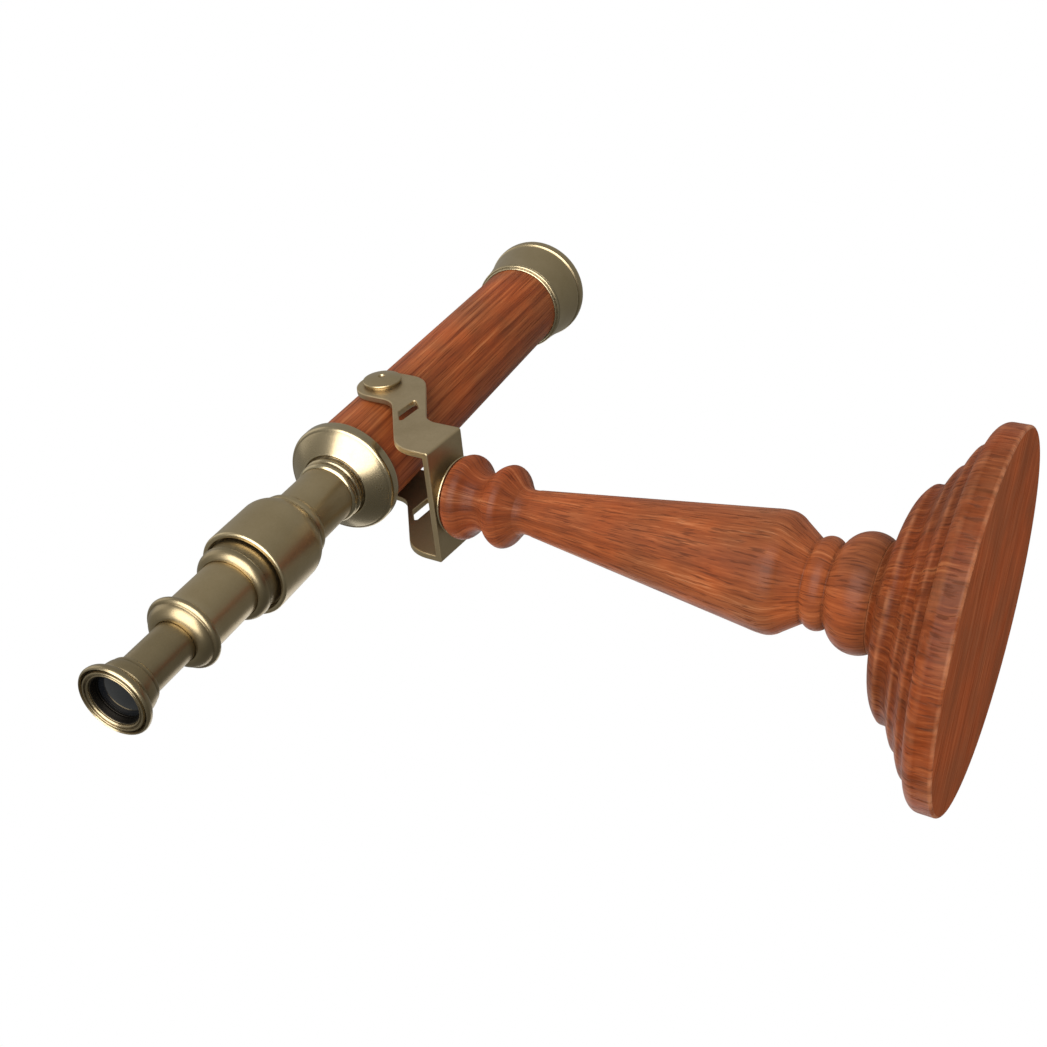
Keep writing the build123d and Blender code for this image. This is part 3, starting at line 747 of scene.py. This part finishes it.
# the brass disc and the hub that the bracket turns on
swivelWasher = {
    "turns": 160,
    "soft": 0.1,
    "closed": True,
    "start": (3.1, 191.2),
    "steps": [
        (14.7, 191.2), ((15.0, 191.6), (14.7, 192.0)), (9.9, 192.0), (9.5, 192.4), (9.5, 194.35),
        (3.1, 194.35),
    ],
}

addPiece("plinthTurning", plinth, standAxis, [plinthWood, baseWood], "stand", "plinth")
addPiece("columnTurning", column, standAxis, [columnWood], "stand", "column")
addPiece("swivelWasher", swivelWasher, standAxis, [agedBrass], "stand", "swivel_washer")
print("stand turned")


# The fixed part of the telescope, from the wooden tube outwards.
barrel = {
    "turns": 256, "soft": 0.2, "closed": True,
    "start": (-38.0, 16.5),
    "steps": [(150.0, 16.5), (150.0, 19.9), (-38.0, 19.9)],
}
# a dished cone behind a rounded rim, then two beads down to the neck
rearFlange = {
    "turns": 256, "soft": 0.18, "closed": True,
    "start": (-34.2, 19.93),
    "steps": [
        (-34.2, 22.3), ((-34.4, 22.52), (-34.7, 22.6)), (-37.6, 22.6), ((-38.5, 22.3), (-39.3, 21.2)),
        (-39.5, 21.0), ((-42.2, 17.4), (-44.6, 13.6)), (-44.2, 12.9), (-45.1, 12.4),
        ((-46.3, 12.9), (-47.5, 12.3)), (-48.0, 12.0), ((-49.7, 12.7), (-51.0, 11.9)), (-51.2, 11.53),
        (-41.5, 11.53), (-41.5, 15.0), (-38.1, 15.0), (-38.1, 19.93),
    ],
}
neckTube = {
    "turns": 192, "soft": 0.1, "closed": True,
    "start": (-80.0, 10.6),
    "steps": [(-36.0, 10.6), (-36.0, 11.5), (-80.0, 11.5)],
}
# a plain drum, open behind, with a rounded shoulder and a bead at its front
sleeve = {
    "turns": 224, "soft": 0.22, "closed": True,
    "start": (-107.4, 15.2),
    "steps": [
        (-107.4, 16.0), ((-107.1, 16.6), (-106.4, 16.9)), (-84.6, 16.9), ((-81.0, 15.9), (-78.2, 13.9)),
        (-77.8, 13.3), (-77.0, 13.7), ((-75.2, 13.7), (-73.6, 12.8)), (-73.0, 11.53), (-80.1, 11.53),
        (-80.1, 12.5), (-86.0, 12.5), (-86.0, 15.0), (-107.2, 15.0),
    ],
}
# the domed ring that closes the sleeve round the draw tube
drawGland = {
    "turns": 192, "soft": 0.15, "closed": True,
    "start": (-116.2, 11.45),
    "steps": [
        ((-115.7, 12.9), (-112.7, 14.3)), ((-112.3, 14.4), (-112.0, 14.0)), (-104.5, 14.0),
        (-104.5, 14.97), (-102.5, 14.97), (-102.5, 11.25), (-116.0, 11.25),
    ],
}
# two small beads, the flared wall, a groove, the rounded lip, and the mouth stepping in to the lens
frontCap = {
    "turns": 288, "soft": 0.16, "closed": True,
    "start": (139.4, 19.93),
    "steps": [
        (139.4, 20.1), ((139.95, 20.9), (140.5, 20.7)), (140.6, 21.1), ((141.2, 21.85), (142.0, 21.5)),
        (142.4, 21.9), ((152.0, 22.9), (161.4, 24.55)), (162.0, 23.95), (162.5, 24.1), (163.1, 25.0),
        ((165.6, 25.25), (167.6, 24.9)), ((168.1, 24.2), (167.9, 23.4)), ((165.4, 21.9), (162.0, 20.6)),
        (162.0, 19.0), (152.0, 19.0), (152.0, 17.0), (150.1, 17.0), (150.1, 19.93),
    ],
}
# a lens with a bulging front and a hollow back
objectiveCrown = {
    "turns": 160, "soft": 0.08,
    "start": (160.0, 0),
    "steps": [((159.508, 9.4), (158.014, 18.8)), (156.522, 18.8), ((154.584, 9.4), (153.95, 0))],
}
objectiveRing = {
    "turns": 192, "soft": 0.2, "closed": True,
    "start": (158.6, 17.0),
    "steps": [(161.4, 17.0), (161.4, 18.97), (158.6, 18.97)],
}

addPiece("woodBarrel", barrel, tubeAxis, [barrelWood], "telescope", "barrel")
addPiece("rearFlange", rearFlange, tubeAxis, [flangeBrass], "telescope", "rear_flange")
addPiece("neckTube", neckTube, tubeAxis, [agedBrass], "telescope", "neck_tube")
addPiece("sleeveTube", sleeve, tubeAxis, [agedBrass], "telescope", "sleeve")
addPiece("drawGland", drawGland, tubeAxis, [handledShadedBrass], "telescope", "draw_gland")
addPiece("frontCap", frontCap, tubeAxis, [agedBrass], "telescope", "front_cap")
addPiece(
    "objectiveCrown", objectiveCrown, tubeAxis, [shadeBlackLens], "telescope", "objective_crown")
addPiece(
    "objectiveRing", objectiveRing, tubeAxis, [agedBrass], "telescope", "objective_ring")
print("telescope turned")


# The two draws and the eyepiece.
drawTube = {
    "turns": 192, "soft": 0.1, "closed": True,
    "start": (-141.4, 10.3),
    "steps": [(-97.5, 10.3), (-97.5, 11.2), (-141.4, 11.2)],
}
# a hollowed collar ending in a bead against the draw tube
drawCollar = {
    "turns": 192, "soft": 0.15, "closed": True,
    "start": (-146.6, 8.05),
    "steps": [
        (-146.6, 8.9), ((-145.3, 11.3), (-143.4, 12.5)), (-143.2, 12.9), ((-141.9, 13.9), (-140.4, 13.1)),
        (-140.4, 11.23), (-141.45, 11.23), (-141.45, 10.27), (-132.0, 10.27), (-132.0, 7.75), (-146.3, 7.75),
    ],
}
eyepieceTube = {
    "turns": 160, "soft": 0.1, "closed": True,
    "start": (-170.0, 6.2),
    "steps": [(-170.0, 7.7), (-126.0, 7.7), (-126.0, 6.9), (-150.0, 6.9), (-150.0, 6.2)],
}
# a stepped cup whose inside is blackened
eyeCup = {
    "turns": 192, "soft": 0.12, "closed": True, "secondFinish": {"within": 9.6, "below": -170.0},
    "start": (-166.2, 7.73),
    "steps": [
        ((-166.5, 8.6), (-167.2, 9.1)), (-168.4, 9.1), (-168.7, 9.6), ((-170.6, 10.0), (-172.6, 10.1)),
        (-173.3, 9.8), (-173.8, 10.5), ((-174.6, 12.1), (-176.4, 13.0)), ((-177.5, 12.8), (-177.9, 12.3)),
        (-177.2, 11.95), (-174.6, 11.85), (-174.6, 8.23), (-171.6, 8.23), (-171.6, 7.2), (-170.05, 7.2),
        (-170.05, 7.73),
    ],
}
eyeLens = {
    "turns": 128, "soft": 0.05,
    "start": (-171.65, 0),
    "steps": [(-171.65, 8.2), (-174.0, 8.2), ((-174.98, 4.1), (-175.3, 0))],
}
# the grooved ring screwed into the cup, blackened inside
eyeRing = {
    "turns": 160, "soft": 0.1, "closed": True, "secondFinish": {"within": 9.1, "below": 0.0},
    "start": (-176.9, 9.25),
    "steps": [
        ((-177.55, 9.45), (-177.8, 9.8)), (-177.45, 10.2), (-177.5, 10.45), ((-178.0, 10.85), (-177.7, 11.2)),
        (-177.2, 11.4), (-174.7, 11.4), (-174.7, 8.5), (-175.0, 8.5), (-176.7, 8.9),
    ],
}

addPiece("drawTube", drawTube, tubeAxis, [agedBrass], "main_draw", "draw_tube")
addPiece("drawCollar", drawCollar, tubeAxis, [handledShadedBrass], "main_draw", "draw_collar")
addPiece(
    "eyepieceTube", eyepieceTube, tubeAxis, [handledShadedBrass], "eyepiece_draw", "eyepiece_tube")
addPiece("eyeCup", eyeCup, tubeAxis, [handledShadedBrass, blackBrass], "eyepiece_draw", "eye_cup")
addPiece(
    "eyeRing", eyeRing, tubeAxis, [handledShadedBrass, blackBrass], "eyepiece_draw", "eye_ring")
addPiece("eyeLens", eyeLens, tubeAxis, [shadeBlackLens], "eyepiece_draw", "eye_lens")
print("draws turned")


# the pieces that keep their CAD shape
keptFinish = {
    "bracket": bracketBrass,
    "pivot_screws": agedBrass,
    "pivot_inserts": agedBrass,
    "swivel_insert": agedBrass,
    "swivel_screw": agedBrass,
    "spring_washer": springSteel,
    "barrel_liner": blackBrass,
    "draw_stop": agedBrass,
    "eyepiece_stop": agedBrass,
    "field_stop": blackBrass,
    "field_spacer": blackBrass,
    "field_ring": agedBrass,
    "field_lens": shadeBlackLens,
    "objective_flint": shadeBlackLens,
}
for nodeName, finish in keptFinish.items():
    for materialSlot in frame["nodes"][nodeName].material_slots:
        materialSlot.material = finish
print("finishes on kept pieces")


studio = {
    "floorSize": 6.0, "floorDrop": 0.0004, "floorRough": 0.9,
    "floorTones": [(0.3, (0.86, 0.86, 0.85)), (0.7, (0.90, 0.90, 0.895))],
    "skyWay": (0.24, -0.81, 0.54),  # the sky is brightest this way
    "sky": [(0.0, (0.12, 0.12, 0.11)), (0.5, (0.28, 0.28, 0.26)), (1.0, (0.42, 0.42, 0.40))],
    "lightTarget": (0.02, 0.0, 0.18),
    "panels": [
        {"name": "keyPanel", "place": (-0.763, -0.579, -0.046), "size": 1.25, "strength": 4.8,
         "colour": (1.0, 0.99, 0.97)},
        {"name": "rimPanel", "place": (0.42, 1.10, 0.43), "size": 0.8, "strength": 1.0,
         "colour": (1.0, 1.0, 1.0)},
        {"name": "topPanel", "place": (-0.10, -0.42, 1.30), "size": 0.9, "strength": 0.5,
         "colour": (1.0, 0.99, 0.96)},
    ],
}


def addFloor():
    # a square sheet just under the plinth. It is seen only from above, and casts no light or shadow
    half, low = studio["floorSize"] / 2, -studio["floorDrop"]
    corners = [(-half, -half, low), (half, -half, low), (half, half, low), (-half, half, low)]
    mesh = bpy.data.meshes.new("floor")
    mesh.from_pydata(corners, [], [(0, 1, 2, 3)])
    floor = bpy.data.objects.new("floor", mesh)
    scene.collection.objects.link(floor)
    material, tree, shader, place = startMaterial("floorPaper")
    colour = rampNode(tree, noiseNode(tree, place, 9.0, 4.0), studio["floorTones"])
    setSocket(tree, shader.inputs["Base Color"], colour)
    shader.inputs["Roughness"].default_value = studio["floorRough"]
    below = tree.nodes.new("ShaderNodeNewGeometry").outputs["Backfacing"]
    clear = tree.nodes.new("ShaderNodeBsdfTransparent").outputs[0]
    sheet = addNode(tree, "ShaderNodeMixShader", {0: below, 1: shader.outputs[0], 2: clear})
    setSocket(tree, tree.nodes["Material Output"].inputs[0], sheet.outputs[0])
    mesh.materials.append(material)
    floor.visible_diffuse = False
    floor.visible_glossy = False
    floor.visible_transmission = False
    floor.visible_shadow = False


def softLight(name, place, size, strength, colour):
    # a square panel facing the telescope; strength is its own brightness: watts = strength * pi * area
    data = bpy.data.lights.new(name, "AREA")
    data.shape = "SQUARE"
    data.size = size
    data.energy = strength * math.pi * size * size
    data.color = colour
    light = bpy.data.objects.new(name, data)
    way = Vector(studio["lightTarget"]) - Vector(place)
    light.matrix_world = Matrix.Translation(place) @ way.to_track_quat("-Z", "Y").to_matrix().to_4x4()
    light.visible_camera = False
    scene.collection.objects.link(light)


def studioWorld():
    # white to the camera; to everything else a soft gradient, brighter on the telescope's near side
    world = bpy.data.worlds.new("studio")
    scene.world = world
    world.use_nodes = True
    tree = world.node_tree
    way = tree.nodes.new("ShaderNodeTexCoord").outputs["Generated"]
    facing = vectorNode(tree, "DOT_PRODUCT", way, studio["skyWay"]).outputs["Value"]
    sky = rampNode(tree, rangeNode(tree, facing, -1.0, 1.0), studio["sky"])
    seen = tree.nodes.new("ShaderNodeLightPath").outputs["Is Camera Ray"]
    setSocket(tree, tree.nodes["Background"].inputs["Color"], mixColours(tree, seen, sky, (1.0, 1.0, 1.0)))


addFloor()
for panel in studio["panels"]:
    softLight(**panel)
studioWorld()

cameraView = {
    "place": (-0.3113, -0.2258, -0.0459),
    "right": (0.51506, 0.08209, -0.85321),
    "up": (0.48681, -0.84730, 0.21236),
    "back": (-0.70550, -0.52473, -0.47637),
    "lens": 41.287, "sensor": 36.0, "nearest": 0.01,
}


def addCamera():
    # the columns of its matrix are the view's right, the view's up and the way back from the lens
    data = bpy.data.cameras.new("camera")
    data.lens = cameraView["lens"]
    data.sensor_width = cameraView["sensor"]
    data.clip_start = cameraView["nearest"]
    camera = bpy.data.objects.new("camera", data)
    scene.collection.objects.link(camera)
    axes = Matrix([cameraView[way] for way in ("right", "up", "back")]).transposed()
    camera.matrix_world = Matrix.Translation(cameraView["place"]) @ axes.to_4x4()
    scene.camera = camera


addCamera()
print("floor, lights and camera set")
